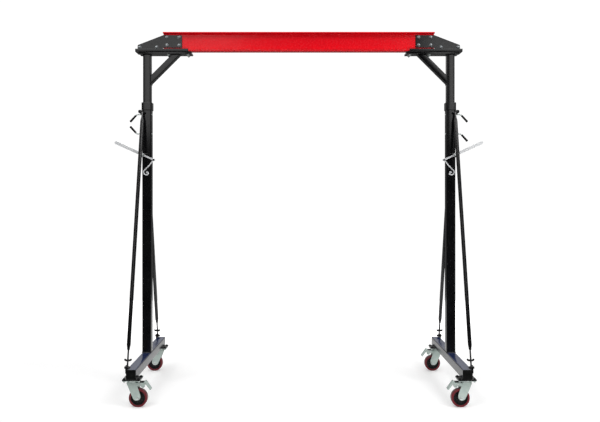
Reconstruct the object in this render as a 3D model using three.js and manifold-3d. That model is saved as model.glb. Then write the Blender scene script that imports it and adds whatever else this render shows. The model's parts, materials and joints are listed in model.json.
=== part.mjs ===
// Portable adjustable gantry crane: a red I-beam on two telescoping black legs,
// each leg on a cross foot with two braked swivel casters.
// Units are millimetres. +Z is up, X runs along the beam, Y along the feet.
// The origin is on the floor, under the middle of the crane.
import * as THREE from 'three';
import { mergeVertices } from 'three/addons/utils/BufferGeometryUtils.js';
import Module from 'manifold-3d';

const wasm = await Module();
wasm.setup();

// ---- driving dimensions ----
const GAP = 0.3; // clearance between touching pieces
const POST_X = 1175; // leg centre line from the middle

// casters
const CASTER_HEIGHT = 194.3;
const CASTER_Y = 493; // swivel axis from the middle of the foot
const TRAIL = 41; // wheel axle behind the swivel axis
const WHEEL_RADIUS = 65;
const WHEEL_HALF_WIDTH = 22.5;
const CORE_RADIUS = 51;
const AXLE_RADIUS = 6;
const TOP_PLATE_THICKNESS = 4;

// feet
const PAD_THICKNESS = 8;
const PAD_HALF_WIDTH = 64;
const PAD_BOTTOM = CASTER_HEIGHT + GAP;
const FOOT_BOTTOM = PAD_BOTTOM + PAD_THICKNESS;
const FOOT_SIZE = 70;
const FOOT_WALL = 3.5;
const FOOT_LENGTH = 1100;
const FOOT_TOP = FOOT_BOTTOM + FOOT_SIZE;

// outer posts and the masts that telescope out of them
const POST_SIZE = 70;
const POST_WALL = 3.5;
const POST_TOP = 2204;
const COLLAR_SIZE = 80;
const COLLAR_BOTTOM = 2147;
const MAST_SIZE = 60;
const MAST_WALL = 3;
const MAST_BOTTOM = 1085;
const HOLE_PITCH = 75;
const FIRST_HOLE_Z = 1139;
const MAST_HOLES = 15;
const PIN_HEIGHTS = [2114, 1964];
const PIN_RADIUS = 5.5;
const PIN_HOLE_RADIUS = 6.4;
const KNOB_Z = 2138;

// head: mast plate, channel, gussets and beam
const HEAD_PLATE_BOTTOM = 2577;
const HEAD_PLATE_THICKNESS = 12;
const CHANNEL_BOTTOM = HEAD_PLATE_BOTTOM + HEAD_PLATE_THICKNESS + GAP;
const CHANNEL_FLOOR = 12;
const CHANNEL_WALL = 6;
const CHANNEL_HALF_WIDTH = 65;
const CHANNEL_LIP_TOP = 2613;
const BEAM_BOTTOM = CHANNEL_BOTTOM + CHANNEL_FLOOR + GAP;
const BEAM_HEIGHT = 146.4;
const BEAM_TOP = BEAM_BOTTOM + BEAM_HEIGHT;
const BEAM_HALF_LENGTH = 1050;
const FLANGE_HALF_WIDTH = 38;
const FLANGE_THICKNESS = 9;
const WEB_HALF = 3;
const GUSSET_THICKNESS = 8;
const GUSSET_INNER = 905;
const GUSSET_OUTER = 1250;
const WEB_BOLTS = [[928, 2712], [928, 2650], [1022, 2712], [1022, 2650]];
const TONGUE_BOLTS = [[1102, 2634], [1234, 2634]];
const BOLT_HOLE_RADIUS = 6.5;

// braces from each post to its foot
const BRACE_X = POST_X + 27;
const BRACE_TOP = [52, 2122]; // Y and Z of the upper pivot
const BRACE_FOOT = [536, 286]; // Y and Z of the lower pivot
const BRACE_RADIUS = 14;
const BRACE_ROD_OUT = 121; // from the tube's end to the lower pivot
const ROD_RADIUS = 6;
const EYE_HALF = 6;
const LUG_INNER = BRACE_X + EYE_HALF + 0.5;
const LUG_OUTER = LUG_INNER + 6;
const WING_NUT_Z = 333;

// lifting lever and hook
const LEVER_PIVOT = [1200, 1798]; // X and Z
const LEVER_TIP = [1404, 1891];
const HOOK_PIVOT = [1114, 1759];
const LEVER_BACK = -49; // Y of the lever's face next to the post
const LEVER_THICKNESS = 12;
const LEVER_HALF_WIDTH = 11.5;
const HOOK_RADIUS = 4.5;

const LEG_SIDES = [['left', -1], ['right', 1]];
const LEG_ENDS = [['front', -1], ['back', 1]];

// ---- finishes ----
const FINISH = {
  frameBlack: { color: 0x121215, roughness: 0.32, metalness: 0.25 },
  beamRed: { color: 0xd4081c, roughness: 0.3, metalness: 0.15 },
  zinc: { color: 0xb9c2bf, roughness: 0.35, metalness: 0.85 },
  blackSteel: { color: 0x1d1d20, roughness: 0.45, metalness: 0.6 },
  tread: { color: 0x7a1420, roughness: 0.5, metalness: 0 },
  core: { color: 0x0d0d0e, roughness: 0.5, metalness: 0 },
  knobBlack: { color: 0x101010, roughness: 0.55, metalness: 0 },
};

// ---- solid helpers ----
// Indexed triangles with shared corners, no slivers and outward winding.
function cleaned(geometry) {
  const bare = geometry.clone();
  bare.deleteAttribute('normal');
  bare.deleteAttribute('uv');
  const merged = mergeVertices(bare, 1e-4);
  const p = merged.attributes.position;
  const kept = [];
  let volume = 0;
  const corner = (i) => new THREE.Vector3().fromBufferAttribute(p, i);
  for (let i = 0; i < merged.index.count; i += 3) {
    const [a, b, c] = [0, 1, 2].map((k) => merged.index.getX(i + k));
    if (a === b || b === c || c === a) continue;
    kept.push([a, b, c]);
    volume += corner(a).dot(corner(b).cross(corner(c)));
  }
  const wound = volume < 0 ? kept.map(([a, b, c]) => [a, c, b]) : kept;
  merged.setIndex(wound.flat());
  return merged;
}

function solid(geometry) {
  const g = cleaned(geometry);
  return new wasm.Manifold(new wasm.Mesh({
    numProp: 3,
    vertProperties: new Float32Array(g.attributes.position.array),
    triVerts: new Uint32Array(g.index.array),
  }));
}

function fuse(...parts) {
  return parts.reduce((whole, part) => whole.add(part));
}

function cut(whole, ...tools) {
  return tools.reduce((rest, tool) => rest.subtract(tool), whole);
}

function toGeometry(manifold) {
  const m = manifold.getMesh();
  const g = new THREE.BufferGeometry();
  g.setAttribute('position', new THREE.BufferAttribute(new Float32Array(m.vertProperties), 3));
  g.setIndex(Array.from(m.triVerts));
  return g;
}

// A solid moved by a matrix. A mirroring matrix keeps outward winding, because solid() rewinds.
function moved(manifold, matrix) {
  return solid(toGeometry(manifold).applyMatrix4(matrix));
}

function mirrored(manifold, sx, sy) {
  return moved(manifold, new THREE.Matrix4().makeScale(sx, sy, 1));
}

function block([x0, x1], [y0, y1], [z0, z1]) {
  const g = new THREE.BoxGeometry(x1 - x0, y1 - y0, z1 - z0);
  return solid(g.translate((x0 + x1) / 2, (y0 + y1) / 2, (z0 + z1) / 2));
}

// A cylinder from one point to another.
function rod(from, to, radius, sides = 16) {
  const a = new THREE.Vector3(...from);
  const b = new THREE.Vector3(...to);
  const along = b.clone().sub(a);
  const g = new THREE.CylinderGeometry(radius, radius, along.length(), sides);
  const turn = new THREE.Quaternion().setFromUnitVectors(
    new THREE.Vector3(0, 1, 0),
    along.clone().normalize(),
  );
  const middle = a.add(b).multiplyScalar(0.5);
  return solid(g.applyQuaternion(turn).translate(middle.x, middle.y, middle.z));
}

// An XZ outline given thickness along Y.
function plateXZ(outline, y0, y1) {
  const shape = new THREE.Shape(outline.map(([x, z]) => new THREE.Vector2(x, z)));
  const g = new THREE.ExtrudeGeometry(shape, { depth: y1 - y0, bevelEnabled: false });
  return solid(g.rotateX(Math.PI / 2).translate(0, y1, 0));
}

// A YZ outline given length along X.
function barYZ(outline, x0, x1) {
  const shape = new THREE.Shape(outline.map(([y, z]) => new THREE.Vector2(y, z)));
  const g = new THREE.ExtrudeGeometry(shape, { depth: x1 - x0, bevelEnabled: false });
  g.applyMatrix4(new THREE.Matrix4().makeBasis(
    new THREE.Vector3(0, 1, 0),
    new THREE.Vector3(0, 0, 1),
    new THREE.Vector3(1, 0, 0),
  ));
  return solid(g.translate(x0, 0, 0));
}

// A radius and height outline turned about Z. It starts and ends on the axis, or closes.
function turned(outline, sides) {
  const points = outline.map(([r, z]) => new THREE.Vector2(r, z));
  return new THREE.LatheGeometry(points, sides).rotateX(Math.PI / 2);
}

// A round bar bent along a smooth path.
function bentBar(points, radius, steps, sides = 10) {
  const path = new THREE.CatmullRomCurve3(points.map((p) => new THREE.Vector3(...p)));
  const ring = [];
  for (let i = 0; i < sides; i += 1) {
    const a = (2 * Math.PI * i) / sides;
    ring.push(new THREE.Vector2(radius * Math.cos(a), radius * Math.sin(a)));
  }
  const settings = { steps, extrudePath: path, bevelEnabled: false };
  return solid(new THREE.ExtrudeGeometry(new THREE.Shape(ring), settings));
}

function squareTube(x, y, size, wall, z0, z1) {
  const half = size / 2;
  const bore = half - wall;
  return cut(
    block([x - half, x + half], [y - half, y + half], [z0, z1]),
    block([x - bore, x + bore], [y - bore, y + bore], [z0 - 1, z1 + 1]),
  );
}

// Points of an arc in degrees, for outlines.
function arc(cx, cy, radius, from, to, steps) {
  const points = [];
  for (let i = 0; i <= steps; i += 1) {
    const a = THREE.MathUtils.degToRad(from + ((to - from) * i) / steps);
    points.push([cx + radius * Math.cos(a), cy + radius * Math.sin(a)]);
  }
  return points;
}

// ---- casters, made about the swivel axis with the wheel trailing towards +X ----
function casterPlate() {
  const z1 = CASTER_HEIGHT;
  const z0 = z1 - TOP_PLATE_THICKNESS;
  const plate = block([-62, 62], [-55, 55], [z0, z1]);
  const stem = solid(turned([
    [0, 159], [11, 159], [11, 169], [8, 169], [8, 178], [33, 178],
    [36, 184], [30, z0 + 1], [0, z0 + 1],
  ], 18));
  return fuse(plate, stem);
}

function casterFork() {
  const leg = [
    [-35, 177.6], [-34, 170], [-5, 96],
    ...arc(33.5, 78, 27.5, 205, 355, 6),
    [60, 92], [46, 132], [28, 177.6],
  ];
  const legs = [1, -1].map((s) => plateXZ(leg, s > 0 ? 27 : -31, s > 0 ? 31 : -27));
  const ears = [1, -1].map((s) => block(
    [12, 90],
    s > 0 ? [23.5, 27.5] : [-27.5, -23.5],
    [150, 174],
  ));
  const crown = block([-35, 30], [-31, 31], [172.6, 177.6]);
  const axle = rod([TRAIL, -36, WHEEL_RADIUS], [TRAIL, 36, WHEEL_RADIUS], AXLE_RADIUS, 12);
  const kingpinHole = rod([0, 0, 170], [0, 0, 180], 8.6, 18);
  return cut(fuse(...legs, ...ears, crown, axle), kingpinHole);
}

function wheelCore() {
  const profile = [
    [6.5, -24.5], [16, -24.5], [18, -11], [42, -9], [46, -19], [50.3, -19],
    [50.3, 19], [46, 19], [42, 9], [18, 11], [16, 24.5], [6.5, 24.5], [6.5, -24.5],
  ];
  return onAxle(turned(profile, 20));
}

function wheelTread() {
  const w = WHEEL_HALF_WIDTH;
  const r = WHEEL_RADIUS;
  const profile = [
    [CORE_RADIUS, -w + 2], [60, -w], [r - 1.5, -w + 4], [r, -w + 9],
    [r, w - 9], [r - 1.5, w - 4], [60, w], [CORE_RADIUS, w - 2], [CORE_RADIUS, -w + 2],
  ];
  return onAxle(turned(profile, 28));
}

// A turned shape laid on the caster's axle.
function onAxle(geometry) {
  return solid(geometry.rotateX(Math.PI / 2).translate(TRAIL, 0, WHEEL_RADIUS));
}

function brakePedal() {
  const side = [
    [46, 158], [52, 150], [66, 146], [70, 138], [84, 138], [84, 158], [90, 170],
    [127, 121], [134, 126], [93, 184], [86, 182], [74, 168], [50, 168],
  ];
  return plateXZ(side, -22.5, 22.5);
}

// ---- one leg, made on the +X side ----
function footWithPads() {
  const half = FOOT_SIZE / 2;
  const bore = half - FOOT_WALL;
  const end = FOOT_LENGTH / 2;
  const mid = FOOT_BOTTOM + half;
  const tube = block([POST_X - half, POST_X + half], [-end, end], [FOOT_BOTTOM, FOOT_TOP]);
  const hollow = block(
    [POST_X - bore, POST_X + bore],
    [-end - 1, end + 1],
    [mid - bore, mid + bore],
  );
  const pads = [-1, 1].map((s) => block(
    [POST_X - PAD_HALF_WIDTH, POST_X + PAD_HALF_WIDTH],
    s > 0 ? [end - 114, end] : [-end, -end + 114],
    [PAD_BOTTOM, FOOT_BOTTOM + 0.4],
  ));
  const lugs = [-1, 1].map((s) => block(
    [LUG_INNER, LUG_OUTER],
    s > 0 ? [518, 549] : [-549, -518],
    [246, 302],
  ));
  return cut(fuse(tube, ...pads, ...lugs), hollow);
}

function outerPost() {
  const half = POST_SIZE / 2;
  const face = -half;
  const tube = squareTube(POST_X, 0, POST_SIZE, POST_WALL, FOOT_TOP + GAP, POST_TOP);
  const bore = half - POST_WALL;
  const collar = squareTube(
    POST_X, 0, COLLAR_SIZE, COLLAR_SIZE / 2 - bore, COLLAR_BOTTOM, POST_TOP,
  );
  const lugs = [-1, 1].map((s) => block(
    [LUG_INNER, LUG_OUTER],
    s > 0 ? [24, 68] : [-68, -24],
    [2108, 2141],
  ));
  const [px, pz] = LEVER_PIVOT;
  const bracket = block([px - 36, px + 36], [face - 6, face + 0.5], [pz - 18, pz + 10]);
  const fulcrum = rod([px, LEVER_BACK - LEVER_THICKNESS - 3, pz], [px, face - 5, pz], 6, 16);
  const keeper = rod([POST_X - 4, face - 22, 1664], [POST_X - 4, face + 1, 1664], 6, 12);
  const knobHole = rod([POST_X + half - 6, 0, KNOB_Z], [POST_X + half + 1, 0, KNOB_Z], 4.6, 12);
  const pinHoles = PIN_HEIGHTS.map(
    (z) => rod([POST_X - half - 1, 0, z], [POST_X + half + 1, 0, z], PIN_HOLE_RADIUS, 8),
  );
  return cut(fuse(tube, collar, ...lugs, bracket, fulcrum, keeper), knobHole, ...pinHoles);
}

function mast() {
  const half = MAST_SIZE / 2 + 1;
  const tube = squareTube(
    POST_X, 0, MAST_SIZE, MAST_WALL, MAST_BOTTOM, HEAD_PLATE_BOTTOM - GAP,
  );
  const holes = [];
  for (let i = 0; i < MAST_HOLES; i += 1) {
    const z = FIRST_HOLE_Z + i * HOLE_PITCH;
    holes.push(rod([POST_X - half, 0, z], [POST_X + half, 0, z], PIN_HOLE_RADIUS, 8));
  }
  return cut(tube, ...holes);
}

function mastTopPlate() {
  return block(
    [POST_X - 348, POST_X + 60],
    [-55, 55],
    [HEAD_PLATE_BOTTOM, HEAD_PLATE_BOTTOM + HEAD_PLATE_THICKNESS],
  );
}

function headChannel() {
  const w = CHANNEL_HALF_WIDTH;
  const t = CHANNEL_WALL;
  const floor = CHANNEL_BOTTOM + CHANNEL_FLOOR;
  const section = [
    [-w, CHANNEL_LIP_TOP], [-w, CHANNEL_BOTTOM], [w, CHANNEL_BOTTOM], [w, CHANNEL_LIP_TOP],
    [w - t, CHANNEL_LIP_TOP], [w - t, floor], [-w + t, floor], [-w + t, CHANNEL_LIP_TOP],
  ];
  const channel = barYZ(section, POST_X - 325, POST_X + 82);
  const tongue = block([1058, 1249], [-WEB_HALF, WEB_HALF], [floor - 1, 2650]);
  const holes = TONGUE_BOLTS.map(([x, z]) => rod([x, -4, z], [x, 4, z], BOLT_HOLE_RADIUS, 6));
  return cut(fuse(channel, tongue), ...holes);
}

function gusset() {
  const bottom = CHANNEL_BOTTOM + CHANNEL_FLOOR + GAP;
  const outline = [
    [GUSSET_INNER, 2632], [1056, 2632], [1056, bottom], [GUSSET_OUTER, bottom],
    [GUSSET_OUTER, 2652], [BEAM_HALF_LENGTH, 2728], [GUSSET_INNER, 2728],
  ];
  const back = -WEB_HALF - GAP;
  const plate = plateXZ(outline, back - GUSSET_THICKNESS, back);
  const holes = [...WEB_BOLTS, ...TONGUE_BOLTS].map(
    ([x, z]) => rod([x, back - GUSSET_THICKNESS - 1, z], [x, back + 1, z], BOLT_HOLE_RADIUS, 6),
  );
  return cut(plate, ...holes);
}

function cornerBrace() {
  const mastFace = POST_X - MAST_SIZE / 2 - GAP;
  const top = HEAD_PLATE_BOTTOM - GAP;
  const run = 196;
  const slanted = (half) => {
    const reach = half * Math.SQRT2;
    return [
      [mastFace, top - run - reach], [mastFace, top - run + reach],
      [mastFace - run + reach, top], [mastFace - run - reach, top],
    ];
  };
  const outer = plateXZ(slanted(25), -25, 25);
  // the bore runs past both cut ends
  const inner = plateXZ(slanted(22).map(([x, z], i) => (
    i < 2 ? [x + 20, z - 20] : [x - 20, z + 20]
  )), -22, 22);
  return cut(outer, inner);
}

// Geometry made with the brace's upper pivot at the origin and its length down +Z,
// laid on the front brace's line.
function onBraceLine(manifold) {
  const [y0, z0] = BRACE_TOP;
  const [y1, z1] = BRACE_FOOT;
  const down = new THREE.Vector3(0, -(y1 - y0), z1 - z0).normalize();
  const thick = new THREE.Vector3(1, 0, 0);
  const across = new THREE.Vector3().crossVectors(down, thick);
  const matrix = new THREE.Matrix4().makeBasis(thick, across, down);
  matrix.setPosition(BRACE_X, -y0, z0);
  return moved(manifold, matrix);
}

function braceLength() {
  return Math.hypot(BRACE_FOOT[0] - BRACE_TOP[0], BRACE_FOOT[1] - BRACE_TOP[1]);
}

function braceTube() {
  const end = braceLength() - BRACE_ROD_OUT;
  const body = solid(turned([
    [0, 18], [6, 18], [6, 24], [BRACE_RADIUS, 54],
    [BRACE_RADIUS, end - 36], [9.5, end - 6], [9.5, end], [0, end],
  ], 16));
  const eye = fuse(
    block([-EYE_HALF, EYE_HALF], [-12, 12], [0, 40]),
    rod([-EYE_HALF, 0, 0], [EYE_HALF, 0, 0], 12, 12),
  );
  const bolt = rod([-EYE_HALF - 1, 0, 0], [EYE_HALF + 1, 0, 0], 5.5, 8);
  const bore = rod([0, 0, end - 90], [0, 0, end + 1], ROD_RADIUS + 0.6, 12);
  return onBraceLine(cut(fuse(body, eye), bolt, bore));
}

function braceRod() {
  const foot = braceLength();
  const shaft = rod([0, 0, foot - BRACE_ROD_OUT - 85], [0, 0, foot - 6], ROD_RADIUS, 12);
  const eye = rod([-EYE_HALF, 0, foot], [EYE_HALF, 0, foot], 12.5, 12);
  const bolt = rod([-EYE_HALF - 1, 0, foot], [EYE_HALF + 1, 0, foot], 5.5, 8);
  return onBraceLine(cut(fuse(shaft, eye), bolt));
}

// Distance down the brace's line at which it passes a height.
function alongBrace(z) {
  return ((BRACE_TOP[1] - z) * braceLength()) / (BRACE_TOP[1] - BRACE_FOOT[1]);
}

function wingNut() {
  const at = alongBrace(WING_NUT_Z);
  const hub = rod([0, 0, at - 7], [0, 0, at + 7], 11, 12);
  const wings = [1, -1].map((s) => {
    const outline = [
      [6 * s, at + 6], [22 * s, at + 3], [27 * s, at - 7], [19 * s, at - 12], [9 * s, at - 6],
    ];
    return plateXZ(outline, -3.5, 3.5);
  });
  const bore = rod([0, 0, at - 9], [0, 0, at + 9], ROD_RADIUS + 0.5, 12);
  return onBraceLine(cut(fuse(hub, ...wings), bore));
}

// The straight shank goes through post and mast; the outside end bends to a gripped handle.
function lockPin(z, turn) {
  const face = POST_X + POST_SIZE / 2;
  const bend = THREE.MathUtils.degToRad(48);
  const start = face + 38;
  const radius = 22;
  const points = [[POST_X - 44, 0, z], [face, 0, z], [start - 12, 0, z]];
  for (let i = 0; i <= 4; i += 1) {
    const a = (bend * i) / 4;
    points.push([start + radius * Math.sin(a), 0, z + turn * radius * (1 - Math.cos(a))]);
  }
  const [ex, , ez] = points[points.length - 1];
  const dir = [Math.cos(bend), turn * Math.sin(bend)];
  const from = [ex + dir[0] * 3, 0, ez + dir[1] * 3];
  const to = [ex + dir[0] * 68, 0, ez + dir[1] * 68];
  const straight = rod(points[0], [start, 0, z], PIN_RADIUS, 12);
  const curved = bentBar([...points.slice(2), from], PIN_RADIUS, 5, 10);
  const grip = rod(from, to, 7.5, 12);
  return fuse(straight, curved, grip);
}

function clampKnob() {
  const face = POST_X + POST_SIZE / 2;
  const tip = POST_X + MAST_SIZE / 2 + GAP;
  const profile = [
    [0, face + 36], [9, face + 36], [12.5, face + 33], [13, face + 14],
    [10, face + 9], [4, face + 8], [4, tip], [0, tip],
  ];
  const knob = turned(profile.map(([r, x]) => [r, -x]), 18);
  return solid(knob.rotateY(-Math.PI / 2).translate(0, 0, KNOB_Z));
}

function liftLever() {
  const [px, pz] = LEVER_PIVOT;
  const [hx, hz] = HOOK_PIVOT;
  const [tx, tz] = LEVER_TIP;
  const slope = (Math.atan2(tz - hz, tx - hx) * 180) / Math.PI;
  const outline = [
    ...arc(tx, tz, LEVER_HALF_WIDTH, slope - 90, slope + 90, 8),
    ...arc(hx, hz, LEVER_HALF_WIDTH - 1, slope + 90, slope + 270, 8),
  ];
  const front = LEVER_BACK - LEVER_THICKNESS;
  const bar = plateXZ(outline, front, LEVER_BACK);
  const stud = rod([hx, front - 12, hz], [hx, front + 1, hz], 4, 12);
  const pivotHole = rod([px, front - 1, pz], [px, LEVER_BACK + 1, pz], 6.5, 16);
  return cut(fuse(bar, stud), pivotHole);
}

function liftHook() {
  const [hx, hz] = HOOK_PIVOT;
  const y = LEVER_BACK - LEVER_THICKNESS - 1 - HOOK_RADIUS;
  const curl = arc(POST_X - 3, 1664, 20, 40, -170, 10).map(([x, z]) => [x, y, z]);
  const start = [hx + 5, y, hz - 6];
  const bar = bentBar([start, [hx + 38, y, hz - 46], ...curl], HOOK_RADIUS, 20, 8);
  const eye = rod([hx, y - 4, hz], [hx, y + 4, hz], 10, 16);
  const hole = rod([hx, y - 6, hz], [hx, y + 6, hz], 4.5, 12);
  return cut(fuse(bar, eye), hole);
}

// ---- the beam ----
function beam() {
  const w = FLANGE_HALF_WIDTH;
  const t = FLANGE_THICKNESS;
  const fillet = 8;
  const quarter = [
    [w, BEAM_TOP], [w, BEAM_TOP - t],
    ...arc(WEB_HALF + fillet, BEAM_TOP - t - fillet, fillet, 90, 180, 3),
  ];
  const middle = BEAM_BOTTOM + BEAM_HEIGHT / 2;
  const right = [...quarter, ...quarter.slice().reverse().map(([y, z]) => [y, 2 * middle - z])];
  const section = [...right, ...right.slice().reverse().map(([y, z]) => [-y, z])];
  const bar = barYZ(section, -BEAM_HALF_LENGTH, BEAM_HALF_LENGTH);
  const holes = [-1, 1].flatMap((s) => WEB_BOLTS.map(
    ([x, z]) => rod([s * x, -5, z], [s * x, 5, z], BOLT_HOLE_RADIUS, 6),
  ));
  return cut(bar, ...holes);
}

// ---- assembly ----
const crane = new THREE.Group();
crane.name = 'adjustable_gantry_crane';

function place(name, manifold, finish) {
  const mesh = new THREE.Mesh(toGeometry(manifold), new THREE.MeshStandardMaterial(FINISH[finish]));
  mesh.name = name;
  mesh.geometry.computeVertexNormals();
  crane.add(mesh);
}

place('beam', beam(), 'beamRed');

const LEG_PARTS = {
  outer_post: [outerPost(), 'frameBlack'],
  foot: [footWithPads(), 'frameBlack'],
  mast: [mast(), 'frameBlack'],
  mast_top_plate: [mastTopPlate(), 'frameBlack'],
  head_channel: [headChannel(), 'frameBlack'],
  corner_brace: [cornerBrace(), 'frameBlack'],
  clamp_knob: [clampKnob(), 'knobBlack'],
  lift_lever: [liftLever(), 'zinc'],
  lift_hook: [liftHook(), 'zinc'],
};

const END_PARTS = {
  gusset: [gusset(), 'frameBlack'],
  brace_tube: [braceTube(), 'frameBlack'],
  brace_rod: [braceRod(), 'blackSteel'],
  wing_nut: [wingNut(), 'blackSteel'],
};

const CASTER_PARTS = {
  caster_plate: [casterPlate(), 'zinc'],
  caster_fork: [casterFork(), 'zinc'],
  wheel_core: [wheelCore(), 'core'],
  wheel_tread: [wheelTread(), 'tread'],
  brake_pedal: [brakePedal(), 'zinc'],
};

// Three casters trail towards -X and the front left one towards +X.
function trailing(side, end) {
  return side < 0 && end < 0 ? 1 : -1;
}

for (const [sideName, side] of LEG_SIDES) {
  for (const [part, [shape, finish]] of Object.entries(LEG_PARTS)) {
    place(`${sideName}_${part}`, mirrored(shape, side, 1), finish);
  }
  for (const [endName, end] of LEG_ENDS) {
    for (const [part, [shape, finish]] of Object.entries(END_PARTS)) {
      place(`${sideName}_${endName}_${part}`, mirrored(shape, side, -end), finish);
    }
    const stand = new THREE.Matrix4().makeTranslation(side * POST_X, end * CASTER_Y, 0);
    stand.multiply(new THREE.Matrix4().makeScale(trailing(side, end), 1, 1));
    for (const [part, [shape, finish]] of Object.entries(CASTER_PARTS)) {
      place(`${sideName}_${endName}_${part}`, moved(shape, stand), finish);
    }
  }
  const [upper, lower] = PIN_HEIGHTS;
  const lowerTurn = side < 0 ? 1 : -1; // the left lower handle is turned up
  place(`${sideName}_upper_lock_pin`, mirrored(lockPin(upper, -1), side, 1), 'zinc');
  place(`${sideName}_lower_lock_pin`, mirrored(lockPin(lower, lowerTurn), side, 1), 'zinc');
}

export default crane;
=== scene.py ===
import json
import math
import random

import bmesh
import bpy
from mathutils import Matrix, Vector

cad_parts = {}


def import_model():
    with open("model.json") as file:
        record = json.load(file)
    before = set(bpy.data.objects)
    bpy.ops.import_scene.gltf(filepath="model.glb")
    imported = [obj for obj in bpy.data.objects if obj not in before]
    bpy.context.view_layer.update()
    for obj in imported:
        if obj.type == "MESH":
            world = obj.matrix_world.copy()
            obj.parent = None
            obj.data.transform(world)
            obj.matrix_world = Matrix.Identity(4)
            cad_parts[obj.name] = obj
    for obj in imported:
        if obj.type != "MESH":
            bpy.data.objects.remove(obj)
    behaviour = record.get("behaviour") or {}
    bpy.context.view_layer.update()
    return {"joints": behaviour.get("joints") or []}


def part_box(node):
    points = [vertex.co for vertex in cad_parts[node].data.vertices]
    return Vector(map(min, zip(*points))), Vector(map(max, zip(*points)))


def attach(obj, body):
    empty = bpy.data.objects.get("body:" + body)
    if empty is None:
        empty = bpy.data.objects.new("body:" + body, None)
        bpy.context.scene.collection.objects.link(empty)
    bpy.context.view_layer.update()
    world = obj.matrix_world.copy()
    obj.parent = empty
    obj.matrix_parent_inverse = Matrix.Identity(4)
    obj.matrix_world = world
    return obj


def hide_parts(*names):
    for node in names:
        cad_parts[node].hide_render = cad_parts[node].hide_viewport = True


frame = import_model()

random.seed(7)

# Lengths below are in millimetres until a piece is finished.
MM = 0.001
TAU = 2 * math.pi
SIDES = (("left", -1), ("right", 1))
ENDS = (("front", -1), ("back", 1))
X, Y, Z = (1, 0, 0), (0, 1, 0), (0, 0, 1)
LEFT, FRONT, DOWN = (-1, 0, 0), (0, -1, 0), (0, 0, -1)


def box_mm(node):
    low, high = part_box(node)
    return low / MM, high / MM


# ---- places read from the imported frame, on the +X side ----
MAST_LOW, MAST_HIGH = box_mm("right_mast")
POST_LOW, POST_HIGH = box_mm("right_outer_post")
FOOT_LOW, FOOT_HIGH = box_mm("right_foot")
PLATE_LOW, PLATE_HIGH = box_mm("right_mast_top_plate")
CHANNEL_LOW, CHANNEL_HIGH = box_mm("right_head_channel")
GUSSET_LOW, GUSSET_HIGH = box_mm("right_front_gusset")
BEAM_LOW, BEAM_HIGH = box_mm("beam")
KNOB_LOW, KNOB_HIGH = box_mm("right_clamp_knob")
CASTER_LOW, CASTER_HIGH = box_mm("right_back_caster_plate")

LEG_X = (MAST_LOW.x + MAST_HIGH.x) / 2
MAST_HALF = (MAST_HIGH.x - MAST_LOW.x) / 2
POST_HALF = 35.0
POST_FACE = LEG_X + POST_HALF
COLLAR_TOP = POST_HIGH.z
COLLAR_BOTTOM = COLLAR_TOP - 57
FOOT_TOP = POST_LOW.z - 0.3
FOOT_END = FOOT_HIGH.y
PAD_BOTTOM = FOOT_LOW.z
PAD_TOP = PAD_BOTTOM + 8
KNOB_Z = (KNOB_LOW.z + KNOB_HIGH.z) / 2
PIN_HEIGHTS = {"upper": 2114.0, "lower": 1964.0}
CASTER_Y = (CASTER_LOW.y + CASTER_HIGH.y) / 2
CASTER_TOP = CASTER_HIGH.z
JOINTS = {j["name"]: j for j in frame["joints"]}


def joint_mm(name):
    return Vector(JOINTS[name]["pos_m"]) / MM


LEVER_PIVOT = joint_mm("right_lever_lift")
HOOK_PIVOT = joint_mm("right_hook_swing")
AXLE = joint_mm("right_back_wheel_spin")
TRAIL = abs(AXLE.x - LEG_X)
PEDAL_AXIS = joint_mm("right_back_brake_press")
NUT_AT = joint_mm("right_front_nut_turn")
BRACE_TOP = Vector((LEG_X + 27, -52, 2122))
BRACE_FOOT = Vector((LEG_X + 27, -536, 286))
BRACE_DOWN = (BRACE_FOOT - BRACE_TOP).normalized()
BRACE_LENGTH = (BRACE_FOOT - BRACE_TOP).length

# ---- sizes that the frame doesn't give ----
POST_WALL, MAST_WALL = 3.5, 3
MAST_HOLE_LOW, MAST_HOLE_PITCH, MAST_HOLES = 1139, 75, 15
LUG_X, LUG_DEPTH = 1208.5, 6
ROD_OUT = 121
LEVER_TIP = (1404.0, 1891.0)
LEVER_BACK, LEVER_FRONT = -49.0, -61.0
KEEPER_Z = 1664
CORNER_RUN, CORNER_HALF = 196, 25
PEDAL_X = 60.0
WASHER = 1.8
WEB_BOLTS = ((928, 2712), (928, 2650), (1022, 2712), (1022, 2650), (1102, 2634), (1234, 2634))


# ---- mesh building ----
def loft(bm, rings, capped=True):
    """Faces between rings of points, each of which closes on itself."""
    rows = [[bm.verts.new(p) for p in ring] for ring in rings]
    n = len(rows[0])
    for a, b in zip(rows, rows[1:]):
        for i in range(n):
            j = (i + 1) % n
            bm.faces.new((a[i], a[j], b[j], b[i]))
    if capped:
        bm.faces.new(reversed(rows[0]))
        bm.faces.new(rows[-1])


def frame_of(axis, up=Z):
    """Two directions across an axis."""
    w = Vector(axis).normalized()
    up = Vector(up)
    if abs(w.dot(up)) > 0.97:
        up = Vector(Y)
    u = up.cross(w).normalized()
    return u, w.cross(u), w


def circle(centre, u, v, radius, sides):
    return [Vector(centre) + (u * math.cos(a) + v * math.sin(a)) * radius
            for a in (TAU * i / sides for i in range(sides))]


def arc(cx, cy, radius, first, last, steps):
    """Points around a centre from one angle to another, in degrees."""
    return [(cx + radius * math.cos(a), cy + radius * math.sin(a))
            for a in (math.radians(first + (last - first) * k / steps) for k in range(steps + 1))]


def mirrored(points, across, up):
    """Points, then the same ones backwards with their numbers times across and up."""
    return points + [(a * across, b * up) for a, b in reversed(points)]


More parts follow.
